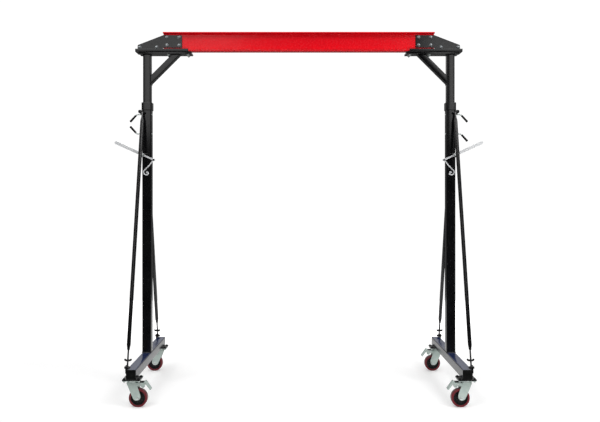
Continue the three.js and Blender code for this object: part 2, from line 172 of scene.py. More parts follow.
def lathe(bm, origin, axis, profile, sides=32, closed=False):
    """A profile of (radius, height) turned about an axis. A closed profile makes a ring."""
    u, v, w = frame_of(axis)
    origin = Vector(origin)
    points = list(profile) + ([profile[0]] if closed else [])
    rings = [circle(origin + w * h, u, v, max(r, 0.01), sides) for r, h in points]
    loft(bm, rings, not closed)
    bmesh.ops.remove_doubles(bm, verts=bm.verts, dist=0.004)


def bar(bm, a, b, radius, sides=24, chamfer=0.8):
    a, b = Vector(a), Vector(b)
    length = (b - a).length
    lathe(bm, a, b - a, [
        (radius - chamfer, 0), (radius, chamfer),
        (radius, length - chamfer), (radius - chamfer, length),
    ], sides)


def smooth_path(points, step):
    """Points along a Catmull-Rom curve through the given points, about a step apart."""
    p = [Vector(q) for q in points]
    p = [2 * p[0] - p[1], *p, 2 * p[-1] - p[-2]]
    out = []
    for i in range(1, len(p) - 2):
        count = max(1, round((p[i + 1] - p[i]).length / step))
        for k in range(count):
            t = k / count
            a, b, c, d = p[i - 1], p[i], p[i + 1], p[i + 2]
            out.append(0.5 * (2 * b + (c - a) * t + (2 * a - 5 * b + 4 * c - d) * t * t
                              + (3 * b - 3 * c + d - a) * t ** 3))
    out.append(p[-2].copy())
    return out


def sweep(bm, points, radius_at, sides=16, closed=False):
    """A round section along points. radius_at takes the share of the way and the point's number."""
    pts = [Vector(q) for q in points]
    n = len(pts)
    tangents = []
    for i in range(n):
        a = pts[i - 1] if (i > 0 or closed) else pts[i]
        b = pts[(i + 1) % n] if (i < n - 1 or closed) else pts[i]
        tangents.append((b - a).normalized())
    u = frame_of(tangents[0])[0]
    rings = []
    for i, (p, t) in enumerate(zip(pts, tangents)):
        u = (u - t * u.dot(t)).normalized()
        rings.append(circle(p, u, t.cross(u), radius_at(i / max(1, n - 1), i), sides))
    if closed:
        rings.append(rings[0])
    loft(bm, rings, not closed)
    if closed:
        bmesh.ops.remove_doubles(bm, verts=bm.verts, dist=0.002)


def rod_with_round_ends(bm, points, radius, sides=20):
    """A bent round bar whose ends are domed."""
    pts = [Vector(q) for q in points]
    length = sum((b - a).length for a, b in zip(pts, pts[1:]))

    def radius_at(share, _):
        d = min(share, 1 - share) * length
        if d >= radius:
            return radius
        return max(0.25, math.sqrt(max(0.0, radius ** 2 - (radius - d) ** 2)))

    sweep(bm, pts, radius_at, sides)


def weld(bm, corners, radius=3.2, closed=False, step=1.3):
    """A rippled weld bead along straight runs between corners."""
    pts = []
    legs = list(zip(corners, corners[1:] + (corners[:1] if closed else [])))
    for a, b in (legs if closed else legs[: len(corners) - 1]):
        a, b = Vector(a), Vector(b)
        count = max(2, round((b - a).length / step))
        pts += [a.lerp(b, k / count) for k in range(count)]
    if not closed:
        pts.append(Vector(corners[-1]))
    wander = [random.uniform(-0.06, 0.06) for _ in range(len(pts) + 1)]

    def radius_at(share, i):
        ripple = 0.13 * abs(math.sin(i * step * math.pi / 4.2))
        taper = 1.0 if closed else min(1.0, 0.35 + 6 * min(share, 1 - share))
        return radius * (0.92 + ripple + wander[i % len(wander)]) * taper

    sweep(bm, pts, radius_at, 8, closed)


def rectangle(a0, a1, b0, b1, radius, steps=4):
    """A rectangle outline with rounded corners, counter-clockwise."""
    centres = ((a1 - radius, b1 - radius), (a0 + radius, b1 - radius),
               (a0 + radius, b0 + radius), (a1 - radius, b0 + radius))
    return [p for q, (cx, cy) in enumerate(centres)
            for p in arc(cx, cy, radius, 90 * q, 90 * q + 90, steps)]


def rounded_square(half, radius, steps=5):
    return rectangle(-half, half, -half, half, radius, steps)


def square_tube(bm, start, end, half, wall, radius, up=Z, cut_start=None, cut_end=None):
    """A rounded square tube. A cut is (point, normal) of the plane that mitres an end."""
    start, end = Vector(start), Vector(end)
    u, v, w = frame_of(end - start, up)

    def at(point2, base, cut, shift):
        p = base + u * point2[0] + v * point2[1]
        if cut:
            q, n = Vector(cut[0]), Vector(cut[1])
            p = p + w * ((q - p).dot(n) / w.dot(n))
        return p + w * shift

    outer = rounded_square(half, radius)
    lip = rounded_square(half - 0.7, radius - 0.7)
    inner = rounded_square(half - wall, max(1.0, radius - wall))
    rings = [[at(p, base, cut, shift) for p in outline] for outline, base, cut, shift in (
        (inner, start, cut_start, 0), (lip, start, cut_start, 0), (outer, start, cut_start, 0.7),
        (outer, end, cut_end, -0.7), (lip, end, cut_end, 0), (inner, end, cut_end, 0))]
    rings.append(rings[0])
    loft(bm, rings, False)
    bmesh.ops.remove_doubles(bm, verts=bm.verts, dist=0.002)


def slab(bm, outline, origin, u, v, depth):
    """A flat outline given thickness from its origin along u cross v."""
    origin, u, v = Vector(origin), Vector(u), Vector(v)
    w = u.cross(v).normalized()
    low = [origin + u * a + v * b for a, b in outline]
    loft(bm, [low, [p + w * depth for p in low]])


def hex_ring(across_flats, angle):
    """Distance from a hexagon's middle to its edge in a direction."""
    part = (angle % (math.pi / 3)) - math.pi / 6
    return across_flats / 2 / math.cos(part)


def hex_solid(bm, centre, axis, flats, height, both=False, bore=0.0, turn=0.0):
    """A bolt head, or a nut where both faces are chamfered."""
    u, v, w = frame_of(axis)
    centre = Vector(centre)
    sides = 48
    flat = flats * 0.475
    slope = math.tan(math.radians(28))
    angles = [TAU * k / sides for k in range(sides)]
    far = [hex_ring(flats, a + turn) for a in angles]
    drop = [max(0.0, r - flat) * slope for r in far]

    def ring(radii, heights):
        return [centre + (u * math.cos(a) + v * math.sin(a)) * r + w * z
                for a, r, z in zip(angles, radii, heights)]

    top, base = [height] * sides, [0.0] * sides
    rings = [ring([bore] * sides, top)] if bore else []
    rings += [ring([flat] * sides, top), ring(far, [height - d for d in drop])]
    rings += [ring(far, drop), ring([flat] * sides, base)] if both else [ring(far, base)]
    loft(bm, rings)


def threaded(bm, a, b, radius, pitch, depth=0.55, sides=20):
    """A screw thread between two points, with a true helix."""
    a, b = Vector(a), Vector(b)
    length = (b - a).length
    u, v, w = frame_of(b - a)
    count = max(4, int(length / pitch * 5))
    rings = []
    for i in range(count + 1):
        h = length * i / count
        fade = min(1.0, h / pitch, (length - h) / pitch)
        ring = []
        for k in range(sides):
            angle = TAU * k / sides
            wave = 0.5 + 0.5 * math.cos(TAU * (h / pitch) - angle)
            r = radius - depth * (wave if fade >= 1 else 1 - fade * (1 - wave))
            ring.append(a + w * h + (u * math.cos(angle) + v * math.sin(angle)) * r)
        rings.append(ring)
    loft(bm, rings)


def washer(bm, centre, axis, radius, hole, height=WASHER):
    lathe(bm, centre, axis, [
        (hole, 0), (radius - 0.4, 0), (radius, 0.4), (radius, height - 0.4),
        (radius - 0.4, height), (hole, height),
    ], 32, closed=True)


def bolt_head(bm, point, axis, size=10.0):
    """A washer and bolt head standing on a face at a point."""
    axis = Vector(axis).normalized()
    washer(bm, point, axis, size * 1.08, size * 0.5)
    hex_solid(bm, Vector(point) + axis * WASHER, axis, size * 1.62, size * 0.62,
              turn=random.uniform(0, 1))


def nut_and_end(bm, point, axis, size=10.0, stick=6.0):
    """A washer, nut and the bolt's threaded end."""
    axis = Vector(axis).normalized()
    point = Vector(point)
    washer(bm, point, axis, size * 1.08, size * 0.5)
    hex_solid(bm, point + axis * WASHER, axis, size * 1.62, size * 0.8, both=True,
              bore=size * 0.42, turn=random.uniform(0, 1))
    top = WASHER + size * 0.8
    threaded(bm, point + axis * (top - 3), point + axis * (top + stick), size / 2, size * 0.15,
             0.5)


def cut_holes(obj, cutter_bm):
    """obj less the cutter's solids, as obj's own mesh."""
    mesh = bpy.data.meshes.new("cutter")
    cutter_bm.to_mesh(mesh)
    cutter = bpy.data.objects.new("cutter", mesh)
    bpy.context.scene.collection.objects.link(cutter)
    mod = obj.modifiers.new("cut", "BOOLEAN")
    mod.operation = "DIFFERENCE"
    mod.solver = "EXACT"
    mod.object = cutter
    bpy.context.view_layer.update()
    graph = bpy.context.evaluated_depsgraph_get()
    done = bpy.data.meshes.new_from_object(obj.evaluated_get(graph))
    obj.modifiers.clear()
    obj.data = done
    bpy.data.objects.remove(cutter)


def piece(name, bm, body, material, sx=1, sy=1, bevel=0.0, segments=2, smooth=38,
          stands_for=(), holes=None, place=None, slot=None):
    """Turns a bmesh in millimetres on the +X, front side into a piece on any side."""
    for part in (bm, holes):
        if part is None:
            continue
        if place is not None:
            bmesh.ops.transform(part, matrix=place, verts=part.verts)
        metres = Matrix.Diagonal((sx * MM, sy * MM, MM, 1))
        bmesh.ops.transform(part, matrix=metres, verts=part.verts)
        bmesh.ops.recalc_face_normals(part, faces=part.faces)
    mesh = bpy.data.meshes.new(name)
    bm.to_mesh(mesh)
    bm.free()
    obj = bpy.data.objects.new(name, mesh)
    bpy.context.scene.collection.objects.link(obj)
    if holes is not None:
        cut_holes(obj, holes)
        holes.free()
    mesh = obj.data
    mesh.materials.clear()
    mesh.materials.append(material)
    mesh.polygons.foreach_set("use_smooth", [True] * len(mesh.polygons))
    mesh.set_sharp_from_angle(angle=math.radians(smooth))
    if bevel:
        mod = obj.modifiers.new("edge", "BEVEL")
        mod.width = bevel * MM
        mod.segments = segments
        mod.limit_method = "ANGLE"
        mod.angle_limit = math.radians(35)
        mod.harden_normals = False
    slot = slot or SLOTS[material]
    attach(obj, body)
    if stands_for:
        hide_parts(*stands_for)
    return obj


# ---- materials ----
class Nodes:
    """Short ways to add to a node tree."""

    def __init__(self, tree):
        self.tree = tree

    def add(self, kind, **settings):
        node = self.tree.nodes.new(kind)
        for key, value in settings.items():
            setattr(node, key, value)
        return node

    def set(self, node, socket, value):
        if isinstance(value, bpy.types.NodeSocket):
            self.tree.links.new(value, node.inputs[socket])
        else:
            node.inputs[socket].default_value = value

    def remap(self, value, low, high, to_low=0.0, to_high=1.0):
        node = self.add("ShaderNodeMapRange", interpolation_type="SMOOTHSTEP")
        for socket, number in zip(("Value", "From Min", "From Max", "To Min", "To Max"),
                                  (value, low, high, to_low, to_high)):
            self.set(node, socket, number)
        return node.outputs[0]

    def along(self, vector, axis):
        """A vector's number on one axis."""
        split = self.add("ShaderNodeSeparateXYZ")
        self.set(split, 0, vector)
        return split.outputs[axis]

    def seen(self):
        """1 for rays straight from the camera."""
        return self.add("ShaderNodeLightPath").outputs["Is Camera Ray"]


class Look(Nodes):
    """A node material around a Principled shader."""

    def __init__(self, name, colour, roughness, metallic=0.0, **sockets):
        self.mat = bpy.data.materials.new(name)
        self.mat.use_nodes = True
        self.mat.diffuse_color = (*colour, 1)
        super().__init__(self.mat.node_tree)
        self.shader = self.tree.nodes["Principled BSDF"]
        self.coords = self.add("ShaderNodeTexCoord").outputs["Object"]
        self.set(self.shader, "Base Color", (*colour, 1))
        self.set(self.shader, "Roughness", roughness)
        self.set(self.shader, "Metallic", metallic)
        for key, value in sockets.items():
            self.set(self.shader, key.replace("_", " "), value)

    def noise(self, scale, detail=3.0, rough=0.55, stretch=(1, 1, 1), distortion=0.0):
        """Noise whose scale is in features per metre."""
        mapping = self.add("ShaderNodeMapping")
        self.set(mapping, "Vector", self.coords)
        self.set(mapping, "Scale", stretch)
        node = self.add("ShaderNodeTexNoise")
        self.set(node, "Vector", mapping.outputs[0])
        self.set(node, "Scale", scale)
        self.set(node, "Detail", detail)
        self.set(node, "Roughness", rough)
        self.set(node, "Distortion", distortion)
        return node.outputs["Fac"]

    def cells(self, scale):
        """Distance to the nearest of scattered points."""
        node = self.add("ShaderNodeTexVoronoi", feature="F1")
        self.set(node, "Vector", self.coords)
        self.set(node, "Scale", scale)
        return node.outputs["Distance"]

    def math(self, operation, a, b):
        node = self.add("ShaderNodeMath", operation=operation)
        self.set(node, 0, a)
        self.set(node, 1, b)
        return node.outputs[0]

    def times(self, a, b):
        return self.math("MULTIPLY", a, b)

    def plus(self, a, b):
        return self.math("ADD", a, b)

    def mix(self, share, a, b):
        node = self.add("ShaderNodeMix", data_type="RGBA")
        node.inputs[0].default_value = 0.5
        self.set(node, 0, share)
        for index, colour in ((6, a), (7, b)):
            self.set(node, index, (*colour, 1) if isinstance(colour, tuple) else colour)
        return node.outputs[2]

    def edges(self, radius_mm):
        """How near a point is to an outer or inner edge, from 0 to 1."""
        bevel = self.add("ShaderNodeBevel", samples=4)
        self.set(bevel, "Radius", radius_mm * MM)
        geometry = self.add("ShaderNodeNewGeometry")
        dot = self.add("ShaderNodeVectorMath", operation="DOT_PRODUCT")
        self.set(dot, 0, bevel.outputs[0])
        self.set(dot, 1, geometry.outputs["Normal"])
        return self.remap(dot.outputs["Value"], 0.995, 0.86)

    def upward(self):
        """1 where a surface faces up."""
        normal = self.add("ShaderNodeNewGeometry").outputs["Normal"]
        return self.remap(self.along(normal, "Z"), 0.55, 0.98)

    def bump(self, height, distance_mm, strength=1.0):
        node = self.add("ShaderNodeBump")
        self.set(node, "Height", height)
        self.set(node, "Distance", distance_mm * MM)
        self.set(node, "Strength", strength)
        if self.shader.inputs["Normal"].is_linked:
            self.set(node, "Normal", self.shader.inputs["Normal"].links[0].from_socket)
        self.set(self.shader, "Normal", node.outputs[0])

    def colour(self, value):
        self.set(self.shader, "Base Color", value)

    def roughness(self, value):
        self.set(self.shader, "Roughness", value)


def painted(name, colour, lighter, worn, gloss=(0.2, 0.34), dust=0.05, wear=0.3, peel=0.016,
            upper=None, specular=0.5):
    """Powder coat or paint on steel: orange peel, chipped edges, scuffs and a little dust; with
    upper given, a painted sky reflection colours the upward faces.
    """
    look = Look(name, colour, gloss[0], 0.0, Coat_Weight=0.12, Coat_Roughness=0.08,
                Specular_IOR_Level=specular)
    patches = look.noise(9, 4, 0.6)
    fine = look.noise(70, 4, 0.65)
    tone = look.mix(look.remap(patches, 0.3, 0.7), colour, lighter)
    # upper is a painted reflection: the colour of the sky seen in gloss paint, laid on upward
    # faces.
    if upper:
        tone = look.mix(look.upward(), tone, upper)
    scuffs = look.remap(look.noise(26, 6, 0.7, (1, 1, 0.3), 1.5), 0.66, 0.74)
    tone = look.mix(look.times(scuffs, 0.06), tone, worn)
    dusty = look.times(look.upward(), look.remap(fine, 0.35, 0.75, 0.2 * dust, dust))
    tone = look.mix(dusty, tone, (0.42, 0.4, 0.37))
    chipped = look.times(look.edges(1.3), look.remap(look.noise(120, 5, 0.7), 0.5, 0.64))
    chipped = look.times(chipped, wear)
    look.colour(look.mix(chipped, tone, worn))
    sheen = look.remap(fine, 0.25, 0.8, gloss[0], gloss[1])
    sheen = look.plus(sheen, look.times(scuffs, 0.12))
    look.roughness(look.plus(sheen, look.times(dusty, 0.9)))
    look.bump(look.noise(420, 2, 0.5), peel)
    look.bump(look.noise(60, 2, 0.5), peel * 1.5, 0.5)
    return look.mat


def plated(name, colour, shade, rough=(0.24, 0.42), grain=(1, 1, 1), metallic=0.9, tarnish=0.3):
    """Bare or plated steel: cloudy passivation, drawn grain, duller edges."""
    look = Look(name, colour, rough[0], metallic)
    cloud = look.remap(look.noise(24, 5, 0.62, distortion=0.6), 0.32, 0.7)
    spangle = look.remap(look.cells(240), 0.1, 0.75)
    tone = look.mix(look.times(cloud, 0.85), colour, shade)
    bright = tuple(min(1, c * 1.25) for c in colour)
    tone = look.mix(look.times(spangle, 0.16), tone, bright)
    spots = look.remap(look.noise(150, 5, 0.75), 0.64, 0.72)
    tone = look.mix(look.times(spots, tarnish), tone, tuple(c * 0.35 for c in shade))
    look.colour(look.mix(look.times(look.edges(0.8), 0.3), tone, colour))
    drawn = look.noise(520, 3, 0.6, grain)
    look.roughness(look.remap(look.plus(cloud, look.times(drawn, 0.5)),
                              0.1, 1.4, rough[0], rough[1]))
    look.bump(drawn, 0.03)
    look.bump(look.noise(90, 3, 0.5), 0.08, 0.5)
    return look.mat


def moulded(name, colour, lighter, rough, grain_scale, grain_mm, dust=0.15, **sockets):
    """Moulded plastic, vinyl or polyurethane with a fine grain, scuffs and dust."""
    look = Look(name, colour, rough, 0.0, **sockets)
    cloud = look.remap(look.noise(34, 4, 0.6), 0.35, 0.7)
    tone = look.mix(cloud, colour, lighter)
    rubbed = look.remap(look.noise(130, 5, 0.72, distortion=0.8), 0.6, 0.72)
    tone = look.mix(look.times(rubbed, dust), tone, (0.33, 0.3, 0.27))
    look.colour(look.mix(look.times(look.edges(1.0), 0.25), tone, lighter))
    look.roughness(look.remap(look.plus(cloud, rubbed), 0, 2, rough, rough + 0.22))
    look.bump(look.noise(grain_scale, 3, 0.6), grain_mm)
    look.bump(look.cells(grain_scale * 0.6), grain_mm * 0.6, 0.6)
    return look.mat


def floor_look():
    """White paper that glows to the camera only, more so further back."""
    look = Look("floor_paper", (0.93, 0.93, 0.93), 0.9, Emission_Color=(1, 1, 1, 1),
                Emission_Strength=0.0)
    look.colour(look.mix(look.noise(3, 4, 0.6), (0.915, 0.915, 0.915), (0.945, 0.945, 0.945)))
    look.bump(look.noise(500, 2), 0.05)
    glow = look.remap(look.along(look.coords, "Y"), 0.6, 2.6, 0.17, 0.8)
    look.set(look.shader, "Emission Strength", look.times(glow, look.seen()))
    return look.mat


BLACK = painted("frame_black", (0.0024, 0.0024, 0.0028), (0.0042, 0.0042, 0.0048),
                (0.07, 0.068, 0.065), (0.13, 0.22))
# The feet's black paint carries a painted reflection: a blue cast on upward faces stands in for the
# sky seen in the gloss.
FOOT_PAINT_WITH_SKY_REFLECTION = painted("foot_black", (0.003, 0.0034, 0.006), (0.005, 0.0058, 0.0105), (0.09, 0.09, 0.09),
                (0.16, 0.24), dust=0.03, peel=0.012, upper=(0.008, 0.019, 0.075))
RED = painted("beam_red", (0.7, 0.0022, 0.009), (0.66, 0.0028, 0.010), (0.16, 0.03, 0.03),
              (0.22, 0.32), dust=0.02, wear=0.5, peel=0.011, specular=0.35)
ZINC = plated("zinc", (0.62, 0.66, 0.64), (0.48, 0.53, 0.52), metallic=0.6)
SHEET = plated("zinc_sheet", (0.45, 0.52, 0.485), (0.36, 0.43, 0.405), (0.36, 0.5),
               (1, 1, 0.15), 0.3)
DRAWN = plated("bright_bar", (0.72, 0.73, 0.74), (0.6, 0.61, 0.63), (0.2, 0.34),
               (0.08, 1, 1), 0.25)
DULL = plated("dull_zinc", (0.3, 0.32, 0.33), (0.2, 0.215, 0.22), (0.3, 0.46), tarnish=0.5,
              metallic=0.8)
OXIDE = plated("black_oxide", (0.03, 0.03, 0.032), (0.018, 0.018, 0.02), (0.3, 0.46), tarnish=0.5)
TREAD = moulded("tread_polyurethane", (0.09, 0.003, 0.008), (0.13, 0.006, 0.012), 0.36, 900, 0.03)
CORE = moulded("core_plastic", (0.0022, 0.0022, 0.0026), (0.005, 0.005, 0.0056), 0.34, 1300, 0.03,
               0.025, Specular_IOR_Level=0.3)
GRIP = moulded("grip_vinyl", (0.003, 0.003, 0.003), (0.006, 0.006, 0.006), 0.4, 1500, 0.04, 0.02,
               Specular_IOR_Level=0.35)
CAP = moulded("cap_plastic", (0.0022, 0.0022, 0.0022), (0.005, 0.005, 0.005), 0.45, 1100, 0.05,
              0.02, Specular_IOR_Level=0.25)
SLOTS = {
    BLACK: "frame_black", FOOT_PAINT_WITH_SKY_REFLECTION: "frame_black", RED: "beam_red", ZINC: "zinc", SHEET: "zinc",
    DRAWN: "zinc", DULL: "zinc", OXIDE: "black_steel", TREAD: "tread", CORE: "core",
    GRIP: "knob_black", CAP: "knob_black",
}


# ---- the legs ----
def hole_cutter(bm, a, b, radius, flare=0.9):
    """A round hole with lightly broken edges."""
    a, b = Vector(a), Vector(b)
    length = (b - a).length
    lathe(bm, a, b - a, [
        (radius + flare + 0.3, -0.3), (radius, flare), (radius, length - flare),
        (radius + flare + 0.3, length + 0.3),
    ], 20)


def through_wall(bm, face_x, wall, z, radius):
    """Cuts one wall, of the tube on LEG_X, whose outer face is at face_x."""
    inward = -1 if face_x > LEG_X else 1
    hole_cutter(bm, (face_x, 0, z), (face_x + inward * wall, 0, z), radius, 0.5)


def mast(side, sx):
    bm = bmesh.new()
    square_tube(bm, (LEG_X, 0, MAST_LOW.z), (LEG_X, 0, MAST_HIGH.z), MAST_HALF, MAST_WALL, 7, up=Y)
    holes = bmesh.new()
    for i in range(MAST_HOLES):
        z = MAST_HOLE_LOW + MAST_HOLE_PITCH * i
        through_wall(holes, LEG_X - MAST_HALF, MAST_WALL, z, 6.2)
        through_wall(holes, LEG_X + MAST_HALF, MAST_WALL, z, 6.2)
    piece(f"{side}_mast_tube", bm, "top_frame", BLACK, sx,
          stands_for=[f"{side}_mast"], holes=holes)


def post(side, sx):
    bm = bmesh.new()
    square_tube(bm, (LEG_X, 0, POST_LOW.z), (LEG_X, 0, COLLAR_TOP - 0.6), POST_HALF, POST_WALL, 8,
                up=Y)
    holes = bmesh.new()
    for z in PIN_HEIGHTS.values():
        through_wall(holes, LEG_X - POST_HALF, POST_WALL, z, 6.3)
        through_wall(holes, POST_FACE, POST_WALL, z, 6.3)
    through_wall(holes, POST_FACE, POST_WALL, KNOB_Z, 4.8)
    piece(f"{side}_post_tube", bm, "legs", BLACK, sx,
          stands_for=[f"{side}_outer_post"], holes=holes)

    bm = bmesh.new()
    square_tube(bm, (LEG_X, 0, COLLAR_BOTTOM), (LEG_X, 0, COLLAR_TOP), 40, 4.9, 10, up=Y)
    piece(f"{side}_post_collar", bm, "legs", BLACK, sx, bevel=0.5)

    bm = bmesh.new()
    square_bead(bm, (LEG_X, 0, COLLAR_BOTTOM - 0.5), POST_HALF + 1.2, 2.6)
    square_bead(bm, (LEG_X, 0, POST_LOW.z + 1), POST_HALF + 0.6, 3.4)
    for s in (-1, 1):
        weld(bm, [(POST_FACE + 1, s * 27, 2107), (POST_FACE + 1, s * 27, 2141)], 2.6)
        weld(bm, [(POST_FACE + 1.5, s * 34.5, 2107), (POST_FACE + 1.5, s * 34.5, 2141)], 2.0)
    for z in (LEVER_PIVOT.z - 18.5, LEVER_PIVOT.z + 10.5):
        weld(bm, [(LEG_X - 8, -POST_HALF - 1, z), (POST_FACE - 6, -POST_HALF - 1, z)], 2.4)
    piece(f"{side}_post_welds", bm, "legs", BLACK, sx)

    bm = bmesh.new()
    for s in (-1, 1):
        outline = rectangle(24, 68, 2108, 2141, 5)
        slab(bm, [(s * y, z) for y, z in outline], (LUG_X, 0, 0), Y, Z, LUG_DEPTH)
    piece(f"{side}_brace_lugs", bm, "legs", BLACK, sx, bevel=0.7)

    bm = bmesh.new()
    hex_solid(bm, (POST_FACE, 0, KNOB_Z), X, 15.5, 6.5, bore=4.3)
    piece(f"{side}_knob_weld_nut", bm, "legs", BLACK, sx, bevel=0.25)


def square_bead(bm, centre, half, radius):
    """A weld bead around an upright square tube."""
    corners = [Vector(centre) + Vector((x, y, 0)) for x, y in rounded_square(half, 8, 3)]
    weld(bm, corners, radius, closed=True)


def foot(side, sx):
    mid = Vector((LEG_X, 0, FOOT_TOP - POST_HALF))
    bm = bmesh.new()
    reach = Vector((0, FOOT_END - 4, 0))
    square_tube(bm, mid - reach, mid + reach, POST_HALF, POST_WALL, 8)
    piece(f"{side}_foot_tube", bm, "legs", FOOT_PAINT_WITH_SKY_REFLECTION, sx, stands_for=[f"{side}_foot"])
    for end, s in ENDS:
        bm = bmesh.new()
        rings = []
        for y, half, r in ((-30, 29, 5), (-6, 31.2, 5), (-4, 31.2, 5), (-4, 34.6, 8),
                           (-1.2, 34.6, 8), (-0.2, 33.6, 7), (0, 32, 6)):
            at = mid + Vector((0, FOOT_END + y, 0))
            rings.append([at + Vector((x, 0, z)) for x, z in rounded_square(half, r)])
        loft(bm, rings)
        piece(f"{side}_{end}_foot_cap", bm, "legs", CAP, sx, s)

        bm = bmesh.new()
        pad = rectangle(LEG_X - 64, LEG_X + 64, FOOT_END - 114, FOOT_END, 7)
        slab(bm, pad, (0, 0, PAD_BOTTOM), X, Y, 8)
        piece(f"{side}_{end}_caster_pad", bm, "legs", BLACK, sx, s, bevel=0.8)

        bm = bmesh.new()
        slab(bm, arc(533.5, 286.5, 15.5, 180, 0, 12) + [(549, 248), (518, 248)],
             (LUG_X, 0, 0), Y, Z, LUG_DEPTH)
        piece(f"{side}_{end}_foot_lug", bm, "legs", BLACK, sx, s, bevel=0.7)

        bm = bmesh.new()
        for x in (LEG_X - POST_HALF - 1.2, POST_FACE + 1.2):
            weld(bm, [(x, FOOT_END - 110, PAD_TOP + 1), (x, FOOT_END - 8, PAD_TOP + 1)], 3)
        weld(bm, [(LEG_X - 30, FOOT_END - 114.5, PAD_TOP - 1),
                  (LEG_X + 30, FOOT_END - 114.5, PAD_TOP - 1)], 2.8)
        for y in (517.5, 547.3):
            weld(bm, [(POST_FACE + 1.2, y, 250), (POST_FACE + 1.2, y, 270)], 2.4)
        weld(bm, [(POST_FACE + 1.2, 518, 247.4), (POST_FACE + 1.2, 546.5, 247.4)], 2.4)
        piece(f"{side}_{end}_foot_welds", bm, "legs", BLACK, sx, s)

        bm, nuts = bmesh.new(), bmesh.new()
        for x in (-51, 51):
            for y in (-38, 38):
                at = Vector((LEG_X + x, CASTER_Y + y, 0))
                bolt_head(bm, at + Vector((0, 0, PAD_TOP)), Z, 9)
                nut_and_end(nuts, at + Vector((0, 0, CASTER_TOP - 4)), DOWN, 9, 1.5)
        piece(f"{side}_{end}_caster_bolts", bm, "legs", OXIDE, sx, s)
        piece(f"{side}_{end}_caster_nuts", nuts, "legs", ZINC, sx, s)


def super_ring(centre, u, v, a, b, power):
    """A closed ring between an ellipse and a rounded rectangle."""
    sides = 32
    points = []
    for k in range(sides):
        t = TAU * k / sides
        c, s = math.cos(t), math.sin(t)
        x = math.copysign(abs(c) ** (2 / power), c) * a
        y = math.copysign(abs(s) ** (2 / power), s) * b
        points.append(centre + u * x + v * y)
    return points


def eye(radius, way, power):
    """Rings of the rounded end of a brace's flat eye, 12 mm thick, about its bolt."""
    heights = [-radius * math.cos(math.pi / 2 * k / 8) for k in range(9)]
    return [(h * way, 6, max(0.6, math.sqrt(max(0, radius * radius - h * h))), power)
            for h in heights]


def eased(steps):
    """Shares of the way along, each with the share of a change that eases in and out."""
    return [(t, t * t * (3 - 2 * t)) for t in (k / steps for k in range(1, steps + 1))]


def brace(side, end, sx, s):
    """A brace on the front line; s is -1 at the front, so back braces are mirrored in Y."""
    flip = -s
    u = Vector(X)
    v = BRACE_DOWN.cross(u)
    stop = BRACE_LENGTH - ROD_OUT
    rings = eye(12, 1, 7) + [(20, 6, 12.3, 6), (28, 6.4, 13.2, 5)]
    rings += [(28 + 42 * t, 6.4 + 7.6 * ease, 13.2 + 0.8 * ease, 5 - 3 * ease)
              for t, ease in eased(8)]
    rings += [(stop - 36, 14, 14, 2)]
    rings += [(stop - 36 + 29 * t, 14 - 4.2 * ease, 14 - 4.2 * ease, 2) for t, ease in eased(6)]
    rings += [(stop - 1.2, 9.8, 9.8, 2), (stop, 9.0, 9.0, 2), (stop, 6.5, 6.5, 2),
              (stop - 40, 6.4, 6.4, 2)]
    bm = bmesh.new()
    loft(bm, [super_ring(BRACE_TOP + BRACE_DOWN * h, u, v, a, b, n) for h, a, b, n in rings])
    piece(f"{side}_{end}_brace_pipe", bm, "legs", BLACK, sx, flip,
          stands_for=[f"{side}_{end}_brace_tube"], smooth=50)

    bm = bmesh.new()
    threaded(bm, BRACE_TOP + BRACE_DOWN * (stop - 30), BRACE_FOOT - BRACE_DOWN * 14, 6, 1.9)
    rings = eye(12.5, -1, 8) + [(-8, 6, 9.5, 5), (-15, 6.2, 6.6, 2), (-20, 6.1, 6.1, 2)]
    loft(bm, [super_ring(BRACE_FOOT + BRACE_DOWN * h, u, v, a, b, n) for h, a, b, n in rings])
    piece(f"{side}_{end}_brace_screw", bm, "legs", OXIDE, sx, flip,
          stands_for=[f"{side}_{end}_brace_rod"], smooth=50)

    bm = bmesh.new()
    lathe(bm, NUT_AT - BRACE_DOWN * 7, BRACE_DOWN, [
        (6.5, 0), (8.4, 0), (9.2, 1), (11, 11.5), (11, 13.2), (10.2, 14), (6.5, 14),
    ], 32, closed=True)
    for w in (-1, 1):
        outline = [(6, -6), (13, -6.2), (19, -4.6), (24, -1), (26.6, 4), (26.6, 8.5), (23.6, 11.6),
                   (19, 11.6), (14, 8), (7, 6)]
        slab(bm, [(w * a, -b) for a, b in outline], NUT_AT - v * 3.2, u, BRACE_DOWN, 6.4)
    piece(f"{side}_{end}_wing_nut_cast", bm, f"{side}_{end}_nut", OXIDE, sx, flip,
          bevel=0.9, segments=3, stands_for=[f"{side}_{end}_wing_nut"])

    bm = bmesh.new()
    for point in (BRACE_TOP, BRACE_FOOT):
        bolt_head(bm, (LUG_X + LUG_DEPTH, point.y, point.z), X, 10)
        nut_and_end(bm, (LEG_X + 21, point.y, point.z), LEFT, 10, 4)
        bar(bm, (1195, point.y, point.z), (1215, point.y, point.z), 5)
    piece(f"{side}_{end}_brace_bolts", bm, "legs", OXIDE, sx, flip)


